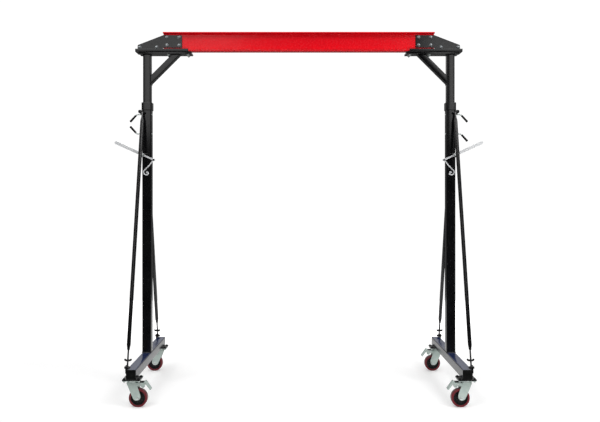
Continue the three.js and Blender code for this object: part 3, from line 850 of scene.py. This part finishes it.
# ---- pins, knob, lever and hook ----
def lock_pin(side, which, sx):
    z = PIN_HEIGHTS[which]
    turn = 1 if (side, which) == ("left", "lower") else -1
    start = POST_FACE + 38
    bend = math.radians(48)
    points = [Vector((LEG_X - 39 + k * 1.5, 0, z)) for k in range(5)]
    points += [Vector((LEG_X - 33 + (start - LEG_X + 33) * k / 6, 0, z)) for k in range(1, 7)]
    for k in range(1, 9):
        a = bend * k / 8
        points.append(Vector((start + 22 * math.sin(a), 0, z + turn * 22 * (1 - math.cos(a)))))
    way = Vector((math.cos(bend), 0, turn * math.sin(bend)))
    tip = points[-1] + way * 68
    points.append(points[-1] + way * 20)
    body = f"{side}_{which}_pin"
    bm = bmesh.new()
    radii = [2.8, 4.2, 5.1, 5.45] + [5.5] * 40
    sweep(bm, points, lambda share, i: radii[i], 24)
    piece(f"{body}_rod", bm, body, ZINC, sx, stands_for=[f"{side}_{which}_lock_pin"])

    bm = bmesh.new()
    base = tip - way * 66.5
    profile = [(5.6, 0), (7.6, 0), (8.6, 1.2), (8.5, 3), (7.7, 5), (7.7, 8)]
    for k in range(8):
        h = 12 + k * 5.2
        profile += [(8.0 + 0.08 * k, h), (7.8 + 0.08 * k, h + 1.6), (7.8 + 0.08 * k, h + 2.6)]
    profile += [(8.8, 57), (9, 61), (8.2, 64), (6, 65.8), (3, 66.4), (0, 66.5)]
    lathe(bm, base, way, profile, 32)
    piece(f"{body}_grip", bm, body, GRIP, sx, smooth=50)


def knob(side, sx):
    bm = bmesh.new()
    sides = 84
    rings = []
    x0 = POST_FACE + 8
    for x, r, lobe in ((0, 8.5, 0), (0.6, 9.4, 0), (3, 9.8, 0), (5, 11.4, 0.5), (6.5, 12.6, 1),
                       (9, 13, 1), (20, 13, 1), (24, 12.5, 1), (26.5, 11, 0.8), (27.8, 8.6, 0.3),
                       (28, 6, 0), (27.2, 5, 0), (27.2, 0.05, 0)):
        rings.append([
            Vector((x0 + x, math.cos(a) * rr, KNOB_Z + math.sin(a) * rr))
            for a, rr in ((t, r - lobe * 1.5 * (0.5 + 0.5 * math.cos(7 * t)) ** 2)
                          for t in (TAU * k / sides for k in range(sides)))
        ])
    loft(bm, rings)
    piece(f"{side}_knob_grip", bm, f"{side}_knob", CORE, sx, smooth=50, slot="knob_black",
          stands_for=[f"{side}_clamp_knob"])
    bm = bmesh.new()
    threaded(bm, (LEG_X + MAST_HALF + 0.4, 0, KNOB_Z), (x0 + 2, 0, KNOB_Z), 4.1, 1.25, 0.4)
    piece(f"{side}_knob_screw", bm, f"{side}_knob", ZINC, sx)


def lever(side, sx):
    px, pz = LEVER_PIVOT.x, LEVER_PIVOT.z
    hx, hz = HOOK_PIVOT.x, HOOK_PIVOT.z
    tx, tz = LEVER_TIP
    slope = math.atan2(tz - hz, tx - hx)
    lean = math.degrees(slope)
    back, front = LEVER_BACK, LEVER_FRONT
    along = Vector((math.cos(slope), math.sin(slope)))
    side_on = Vector((-along.y, along.x))
    shoulders = [(Vector((px, pz)) + along * d, h)
                 for d, h in ((46, 10.8), (34, 10.4), (-14, 7), (-26, 6))]
    outline = arc(tx, tz, 11.5, lean - 90, lean + 90, 14)
    outline += [tuple(at + side_on * h) for at, h in shoulders]
    outline += arc(hx, hz, 6.4, lean + 90, lean + 270, 14)
    outline += [tuple(at - side_on * h) for at, h in reversed(shoulders)]
    bm, boss = bmesh.new(), bmesh.new()
    slab(bm, outline, (0, back, 0), X, Z, 12)
    holes = bmesh.new()
    hole_cutter(holes, (px, front, pz), (px, back, pz), 6.4)
    lathe(boss, (px, back - 0.1, pz), FRONT, [
        (6.6, 0), (11.2, 0), (12, 0.8), (12, 11.1), (11.2, 11.9), (6.6, 11.9),
    ], 36, closed=True)
    piece(f"{side}_lever_boss", boss, f"{side}_lever", DRAWN, sx)
    piece(f"{side}_lever_bar", bm, f"{side}_lever", DRAWN, sx, bevel=1.2, segments=3,
          stands_for=[f"{side}_lift_lever"], holes=holes)

    bm = bmesh.new()
    bar(bm, (hx, front + 1, hz), (hx, front - 12, hz), 4)
    washer(bm, (hx, front - 10.1, hz), FRONT, 7.2, 4, 1.2)
    hex_solid(bm, (hx, front + 12.2, hz), Y, 13, 5)
    piece(f"{side}_lever_stud", bm, f"{side}_lever", OXIDE, sx)

    bm = bmesh.new()
    plate = rectangle(px - 36, px + 36, pz - 18, pz + 10, 6)
    slab(bm, plate, (0, -POST_HALF, 0), X, Z, 6)
    lathe(bm, (px, -40.8, pz), FRONT, [
        (6, 0), (10.5, 0), (10.5, 1), (9, 2.2), (9, 7.9), (6, 7.9),
    ], 32, closed=True)
    piece(f"{side}_lever_bracket", bm, "legs", BLACK, sx, bevel=0.6)

    bm = bmesh.new()
    lathe(bm, (px, -40, pz), FRONT, [
        (5.9, 0), (5.9, 21.3), (8.6, 21.4), (8.6, 22.6), (5.4, 22.7), (5.4, 23.4), (4.6, 24),
        (0, 24),
    ], 32)
    piece(f"{side}_fulcrum_pin", bm, "legs", ZINC, sx)

    bm = bmesh.new()
    lathe(bm, (LEG_X - 4, -POST_HALF + 1, KEEPER_Z), FRONT, [
        (9.5, 0), (9.5, 2), (8, 4.5), (6, 5.5), (6, 19.5), (5.2, 21.6), (3.4, 22.8), (0, 23),
    ], 32)
    piece(f"{side}_hook_keeper", bm, "legs", DRAWN, sx)


def hook(side, sx):
    hx, y, hz = HOOK_PIVOT
    curl = [(x, y, z) for x, z in arc(LEG_X - 3, KEEPER_Z, 20, 40, -170, 10)]
    spine = smooth_path([(hx + 5, y, hz - 6), (hx + 38, y, hz - 46), *curl], 3)
    bm = bmesh.new()
    rod_with_round_ends(bm, spine, 4.5, 20)
    lathe(bm, (hx, y - 4, hz), Y, [
        (4.4, 0.6), (5, 0), (9.2, 0), (10, 0.8), (10, 7.2), (9.2, 8), (5, 8), (4.4, 7.4),
    ], 36, closed=True)
    piece(f"{side}_hook_rod", bm, f"{side}_hook", DRAWN, sx,
          stands_for=[f"{side}_lift_hook"], smooth=50)


# ---- the head ----
def head_plate(side, sx):
    bm = bmesh.new()
    outline = rectangle(PLATE_LOW.x, PLATE_HIGH.x, PLATE_LOW.y, PLATE_HIGH.y, 4)
    slab(bm, outline, (0, 0, PLATE_LOW.z), X, Y, 12)
    piece(f"{side}_head_plate", bm, "top_frame", BLACK, sx, bevel=0.9,
          stands_for=[f"{side}_mast_top_plate"])

    bm = bmesh.new()
    square_bead(bm, (LEG_X, 0, PLATE_LOW.z - 1), MAST_HALF + 0.8, 3.2)
    piece(f"{side}_mast_weld", bm, "top_frame", BLACK, sx)


def channel(side, sx):
    """A bent channel with the tongue plate standing along its middle."""
    low, high = CHANNEL_LOW, CHANNEL_HIGH
    w, base, lip = high.y, low.z, 2613.0
    floor = base + 12
    outer = [(w, lip - 0.8), (w - 0.8, lip), (w - 5.2, lip), (w - 6, lip - 0.8)]
    inner = arc(w - 11, floor + 5, 5, 0, -90, 5)
    under = arc(w - 9, base + 9, 9, -90, 0, 6)
    section = mirrored(outer + inner, -1, 1)
    section += [(-y, z) for y, z in reversed(under)] + under
    bm = bmesh.new()
    loft(bm, [[Vector((x, y, z)) for y, z in section] for x in (low.x, high.x)])
    piece(f"{side}_head_channel_bent", bm, "top_frame", BLACK, sx, bevel=0.5,
          stands_for=[f"{side}_head_channel"])

    bm = bmesh.new()
    slab(bm, rectangle(1058, 1249, floor - 1, 2650, 2), (0, 3, 0), X, Z, 6)
    piece(f"{side}_tongue_plate", bm, "top_frame", BLACK, sx, bevel=0.5)

    bm = bmesh.new()
    for y in (-w + 14, w - 14):
        weld(bm, [(PLATE_LOW.x + 30, math.copysign(55.8, y), base),
                  (PLATE_HIGH.x - 8, math.copysign(55.8, y), base)], 2.2)
    piece(f"{side}_channel_welds", bm, "top_frame", BLACK, sx)

    bm, nuts = bmesh.new(), bmesh.new()
    for x in (858, 1010):
        for y in (-24.5, 24.5):
            bolt_head(bm, Vector((x, y, BEAM_LOW.z + 9)), Z, 11)
            nut_and_end(nuts, Vector((x, y, PLATE_LOW.z)), DOWN, 11, 4)
    piece(f"{side}_flange_bolts", bm, "top_frame", RED, sx)
    piece(f"{side}_flange_nuts", nuts, "top_frame", ZINC, sx)


def gussets(side, sx):
    low, high = GUSSET_LOW, GUSSET_HIGH
    outline = [(905, 2632), (1056, 2632), (1056, low.z), (1246, low.z), (1250, low.z + 4),
               (1250, 2648), (1246, 2653.5), (1053, 2728), (909, 2728), (905, 2724)]
    for end, s in ENDS:
        bm = bmesh.new()
        slab(bm, outline, (0, high.y, 0), X, Z, high.y - low.y)
        holes = bmesh.new()
        for x, z in WEB_BOLTS:
            hole_cutter(holes, (x, low.y, z), (x, high.y, z), 6.5, 0.4)
        piece(f"{side}_{end}_gusset_plate", bm, "top_frame", BLACK, sx, -s,
              bevel=0.8, stands_for=[f"{side}_{end}_gusset"], holes=holes)

    bm = bmesh.new()
    for x, z in WEB_BOLTS:
        bolt_head(bm, (x, low.y, z), FRONT, 12)
        nut_and_end(bm, (x, -low.y, z), Y, 12, 5)
        bar(bm, (x, low.y - 1, z), (x, -low.y + 1, z), 6)
    piece(f"{side}_web_bolts", bm, "top_frame", DULL, sx)


def corner_brace(side, sx):
    face = LEG_X - MAST_HALF - 0.3
    top = PLATE_LOW.z - 0.3
    half, run = CORNER_HALF, CORNER_RUN
    bm = bmesh.new()
    square_tube(bm, (face, 0, top - run), (face - run, 0, top), half, 3, 6, up=Y,
                cut_start=((face, 0, 0), X), cut_end=((0, 0, top), Z))
    piece(f"{side}_corner_brace_tube", bm, "top_frame", BLACK, sx,
          stands_for=[f"{side}_corner_brace"])
    reach = half * math.sqrt(2)
    x, z, wide = face - run, top - run, half + 0.6
    bm = bmesh.new()
    weld(bm, [(face - 0.5, -half, z - reach), (face - 0.5, half, z - reach),
              (face - 0.5, wide, z + reach), (face - 0.5, -wide, z + reach)], 3, closed=True)
    weld(bm, [(x - reach, -wide, top - 0.5), (x - reach, wide, top - 0.5),
              (x + reach, wide, top - 0.5), (x + reach, -wide, top - 0.5)], 3, closed=True)
    piece(f"{side}_corner_brace_welds", bm, "top_frame", BLACK, sx)


def beam():
    low, high = BEAM_LOW, BEAM_HIGH
    w, t, web, fillet, tip = high.y, 9.0, 3.0, 8.0, 2.2
    mid = (low.z + high.z) / 2
    half = high.z - mid
    quarter = arc(w - tip, half - tip, tip, 90, 0, 4)
    quarter += arc(w - tip, half - t + tip, tip, 0, -90, 4)
    quarter += arc(web + fillet, half - t - fillet, fillet, 90, 180, 6)
    section = mirrored(mirrored(quarter, 1, -1), -1, 1)
    bm = bmesh.new()
    stations = ((low.x, 0.8), (low.x + 0.8, 0), (high.x - 0.8, 0), (high.x, 0.8))
    loft(bm, [[Vector((x, y - math.copysign(inset, y), mid + z - math.copysign(inset, z)))
               for y, z in section] for x, inset in stations])
    holes = bmesh.new()
    for x, z in WEB_BOLTS[:4]:
        for s in (-1, 1):
            hole_cutter(holes, (s * x, -web, z), (s * x, web, z), 6.5, 0.4)
    piece("beam_rolled_section", bm, "top_frame", RED, stands_for=["beam"],
          holes=holes, smooth=30)


# ---- casters, about the swivel axis with the wheel trailing towards +x ----
def fork_leg():
    """A pressed side of the fork, as an outline in x and z."""
    around = arc(33.5, 78, 27.5, 205, 355, 14)
    return [(-34, 168), (-32.5, 163), (-5, 96), *around, (59.6, 92), (46, 132), (34, 160),
            (31.4, 168)]


def caster(names, place):
    body, brake, wheel = (f"{names}_{part}" for part in ("caster", "brake", "wheel"))
    bm = bmesh.new()
    slab(bm, rectangle(-62, 62, -55, 55, 6), (0, 0, CASTER_TOP - 4), X, Y, 4)
    piece(f"{names}_mount_plate", bm, "legs", SHEET, bevel=0.7, place=place,
          stands_for=[f"{names}_caster_plate"])
    bm = bmesh.new()
    lathe(bm, (0, 0, 0), Z, [
        (9, 178.2), (32, 178.2), (34.5, 179.4), (36, 182), (36, 185.4), (33.5, 188.2),
        (33, 190.2), (9, 190.2),
    ], 56, closed=True)
    for k in range(4):
        a = TAU * (k + 0.5) / 4
        lathe(bm, (25 * math.cos(a), 25 * math.sin(a), 189.8), Z,
              [(0, -13), (2.4, -12.6), (3.2, -11.6), (3.2, 0), (0, 0)], 12)
    piece(f"{names}_raceway", bm, "legs", ZINC, place=place, smooth=30)
    bm = bmesh.new()
    threaded(bm, (0, 0, 158.6), (0, 0, 172), 7.8, 1.6)
    hex_solid(bm, (0, 0, 160.4), Z, 19, 8.6, both=True, bore=6.8)
    washer(bm, (0, 0, 169.2), Z, 13, 7, 2.2)
    bar(bm, (0, 0, 171), (0, 0, 190), 8)
    piece(f"{names}_kingpin", bm, "legs", ZINC, place=place)

    bm = bmesh.new()
    leg, ear = fork_leg(), rectangle(12, 90, 150, 174, 5)
    for outline, y, depth in ((leg, -27, 4), (leg, 31, 4), (ear, -23.5, 3.8), (ear, 27.3, 3.8)):
        slab(bm, outline, (0, y, 0), X, Z, depth)
    piece(f"{names}_fork_sides", bm, body, SHEET, bevel=0.9, segments=3, place=place,
          stands_for=[f"{names}_caster_fork"])
    bm = bmesh.new()
    section = mirrored([(31, 168.1), (31, 174.6), (30.1, 176.7), (28, 177.6)], -1, 1)
    section += mirrored([(-27, 168.1), (-27, 171.6), (-26.2, 172.4)], -1, 1)
    loft(bm, [[Vector((x, y, z)) for y, z in section] for x in (-35, 30)])
    holes = bmesh.new()
    hole_cutter(holes, (0, 0, 172.3), (0, 0, 177.7), 8.7, 0.3)
    piece(f"{names}_fork_crown", bm, body, SHEET, bevel=0.7, place=place, holes=holes)
    bm = bmesh.new()
    lathe(bm, (0, 0, 165.6), Z, [
        (14, 6.4), (14, 3), (20, 1.2), (26, 2.6), (27, 6.4),
    ], 40, closed=True)
    piece(f"{names}_lower_race", bm, body, ZINC, place=place)

    # Painted shade: a dark oxide strip shaped as a leaf spring above the brake, put in to darken
    # the gap under the mount plate.
    bm = bmesh.new()
    slab(bm, [(26, 172.5), (40, 172.6), (60, 174.7), (86, 174.7), (88, 176.4), (86, 177.4),
              (58, 177.4), (40, 175.2), (26, 174.8)], (0, 20, 0), X, Z, 40)
    piece(f"{names}_shade_strip", bm, body, OXIDE, place=place)

    bm = bmesh.new()
    axle = Vector((TRAIL, 0, AXLE.z))
    bar(bm, axle + Vector((0, -31.2, 0)), axle + Vector((0, 31.2, 0)), 6)
    washer(bm, axle + Vector((0, -31.1, 0)), FRONT, 12, 6, 1.6)
    hex_solid(bm, axle + Vector((0, -32.6, 0)), FRONT, 18, 6, turn=0.3)
    washer(bm, axle + Vector((0, 31.1, 0)), Y, 12, 6, 1.6)
    hex_solid(bm, axle + Vector((0, 32.6, 0)), Y, 18, 8, both=True, bore=5, turn=0.1)
    threaded(bm, axle + Vector((0, 33, 0)), axle + Vector((0, 44, 0)), 6, 1.5, 0.5)
    piece(f"{names}_axle_bolt", bm, body, ZINC, place=place)

    wheel_parts(names, wheel, axle, place)
    pedal(names, body, brake, place)


def wheel_parts(names, wheel, axle, place):
    bm = bmesh.new()
    half = [(6.6, 24.2), (9, 24.4), (15.2, 24.4), (16.2, 23.4), (17.4, 14), (19.5, 11.4),
            (24, 10.2), (38, 9.2), (42.6, 10.6), (45, 16.5), (46.4, 18.6), (48.4, 19), (50.3, 18.4)]
    lathe(bm, axle, Y, mirrored(half, 1, -1), 72, closed=True)
    for s in (-1, 1):
        for k in range(10):
            a = TAU * k / 10
            u = Vector((math.cos(a), 0, math.sin(a)))
            v = Vector((-math.sin(a), 0, math.cos(a)))
            rib = [(17, 9), (17, 17), (19, 17.4), (36, 12.8), (42, 14), (46, 17), (46, 9)]
            slab(bm, [(r, s * h) for r, h in rib], axle + v * (-1.4 * s), u, Y, 2.8 * -s)
    piece(f"{names}_core_ribbed", bm, wheel, CORE, bevel=0.5, segments=1, place=place,
          stands_for=[f"{names}_wheel_core"])
    bm = bmesh.new()
    for s in (-1, 1):
        lathe(bm, axle, (0, s, 0), [
            (6.4, 23), (6.4, 25.4), (7, 26), (9.2, 26), (9.8, 25.4), (9.8, 23),
        ], 32, closed=True)
        lathe(bm, axle, (0, s, 0), [(10.3, 23.6), (10.3, 24.6), (14.4, 24.9), (14.4, 23.6)], 40,
              closed=True)
    piece(f"{names}_bearing", bm, wheel, ZINC, place=place)
    bm = bmesh.new()
    half = [(51, 20.2), (53, 21.4), (58, 22.4), (61.2, 22.2), (63.4, 20.8), (64.6, 18), (65, 13),
            (65, 6)]
    lathe(bm, axle, Y, mirrored(half, 1, -1), 112, closed=True)
    piece(f"{names}_tread_ring", bm, wheel, TREAD, place=place,
          stands_for=[f"{names}_wheel_tread"], smooth=50)


def pedal(names, body, brake, place):
    """The toe pedal: a pressed strip from its hinge over the wheel and down to the toe."""
    top_line = [(50, 168), (62, 168), (74, 168), (80, 174), (86, 182), (89.5, 184.2), (93, 184),
                (100, 174), (134, 126), (131, 122.5), (127, 121)]
    low_line = [(123, 126), (97, 161), (90, 170), (86.5, 165), (84, 158), (84, 146), (84, 138),
                (77, 137.4), (70, 138), (66, 146), (52, 150), (46, 158)]
    rings = []
    for y, inset in ((-22.5, 1.2), (-21.3, 0), (21.3, 0), (22.5, 1.2)):
        rings.append([Vector((x, y, z)) - Vector((x - 80, 0, z - 158)).normalized() * inset * 0.4
                      for x, z in top_line + low_line])
    bm = bmesh.new()
    loft(bm, rings)
    piece(f"{names}_pedal_plate", bm, brake, SHEET, bevel=0.5, place=place, smooth=32,
          stands_for=[f"{names}_brake_pedal"])
    bm = bmesh.new()
    down = Vector((34, 0, -48)).normalized()
    out = Vector((48, 0, 34)).normalized()
    for k in range(5):
        at = Vector((107, 0, 164.2)) + down * (k * 8.0)
        ridge = [(-1.6, 0), (-1.1, 0.9), (0, 1.3), (1.1, 0.9), (1.6, 0)]
        rings = []
        for y, share in ((-17, 0.2), (-15.5, 1), (15.5, 1), (17, 0.2)):
            rings.append([at + Vector((0, y, 0)) + down * a + out * (b * share - 1.0)
                          for a, b in ridge])
        loft(bm, rings)
    piece(f"{names}_pedal_ridges", bm, brake, SHEET, place=place, smooth=60)
    bm = bmesh.new()
    at = Vector((PEDAL_X, 0, PEDAL_AXIS.z))
    bar(bm, at + Vector((0, -27.6, 0)), at + Vector((0, 27.6, 0)), 4)
    for s in (-1, 1):
        lathe(bm, at + Vector((0, s * 27.4, 0)), (0, s, 0), [
            (0, 0), (6.6, 0), (6.6, 0.8), (5, 2.4), (2, 3), (0, 3),
        ], 28)
    piece(f"{names}_pedal_pin", bm, body, ZINC, place=place)


# ---- assembly ----
beam()
for side, sx in SIDES:
    mast(side, sx)
    post(side, sx)
    foot(side, sx)
    knob(side, sx)
    lever(side, sx)
    hook(side, sx)
    head_plate(side, sx)
    channel(side, sx)
    gussets(side, sx)
    corner_brace(side, sx)
    for which in PIN_HEIGHTS:
        lock_pin(side, which, sx)
    for end, s in ENDS:
        brace(side, end, sx, s)
        trail = 1 if (side, end) == ("left", "front") else -1
        swivel = Matrix.Translation((sx * LEG_X, s * CASTER_Y, 0))
        place = swivel @ Matrix.Diagonal((trail, 1, 1, 1))
        caster(f"{side}_{end}", place)


# ---- floor, light and camera ----
def stage_floor():
    bm = bmesh.new()
    bmesh.ops.create_grid(bm, x_segments=8, y_segments=8, size=2.5)
    bmesh.ops.translate(bm, verts=bm.verts, vec=(0, 1.72, 0))
    mesh = bpy.data.meshes.new("floor")
    bm.to_mesh(mesh)
    bm.free()
    floor = bpy.data.objects.new("floor", mesh)
    mesh.materials.append(floor_look())
    bpy.context.scene.collection.objects.link(floor)


def softbox(name, place, target, width, height, power, glossy=True, diffuse=True):
    light = bpy.data.lights.new(name, "AREA")
    light.shape = "RECTANGLE"
    light.size = width
    light.size_y = height
    light.energy = power
    lamp = bpy.data.objects.new(name, light)
    lamp.visible_glossy = glossy
    lamp.visible_diffuse = diffuse
    lamp.location = place
    lamp.rotation_euler = (Vector(target) - Vector(place)).to_track_quat("-Z", "Y").to_euler()
    bpy.context.scene.collection.objects.link(lamp)


def world():
    """A white backdrop to the camera. For reflections: bright behind and above, dark in front."""
    made = bpy.data.worlds.new("studio")
    made.use_nodes = True
    made.node_tree.nodes.clear()
    net = Nodes(made.node_tree)
    way = net.add("ShaderNodeTexCoord").outputs["Generated"]
    height = net.along(way, "Z")
    blend = net.add("ShaderNodeMix")
    net.set(blend, 0, net.remap(net.along(way, "Y"), -0.2, 0.3))
    net.set(blend, 2, net.remap(height, 0.3, 0.75, 0.012, 0.9))
    net.set(blend, 3, net.remap(height, 0.05, 0.32, 0.1, 0.75))
    room, backdrop = net.add("ShaderNodeBackground"), net.add("ShaderNodeBackground")
    for node, strength in ((room, blend.outputs[0]), (backdrop, 1.05)):
        net.set(node, "Color", (1, 1, 1, 1))
        net.set(node, "Strength", strength)
    mix = net.add("ShaderNodeMixShader")
    for socket, value in enumerate((net.seen(), room.outputs[0], backdrop.outputs[0])):
        net.set(mix, socket, value)
    net.set(net.add("ShaderNodeOutputWorld"), 0, mix.outputs[0])
    bpy.context.scene.world = made


def camera():
    data = bpy.data.cameras.new("camera")
    data.lens = 41.4
    data.sensor_width = 36
    data.shift_x = 0.0095
    data.shift_y = -0.0333
    data.clip_end = 200
    eye = bpy.data.objects.new("camera", data)
    eye.location = (-0.035, -5.36, 1.52)
    eye.rotation_euler = (math.radians(90), 0, 0)
    bpy.context.scene.collection.objects.link(eye)
    bpy.context.scene.camera = eye


stage_floor()
softbox("key_left", (-2.6, -3.4, 6.0), (0, 0, 1.4), 3.0, 2.4, 90)
softbox("key_right", (3.2, -3.2, 5.4), (0.4, 0, 1.6), 2.0, 2.4, 90)
softbox("front_fill", (1.2, -5.0, 0.9), (0.7, 0, 2.4), 3.5, 1.4, 180, glossy=False)
softbox("left_bank", (-2.05, -6.0, 3.5), (-2.05, 0, 3.5), 2.3, 2.1, 20, diffuse=False)
softbox("right_bank", (2.8, -6.0, 3.5), (2.8, 0, 3.5), 1.5, 2.1, 15, diffuse=False)
world()
camera()
bpy.context.scene.view_settings.view_transform = "Standard"
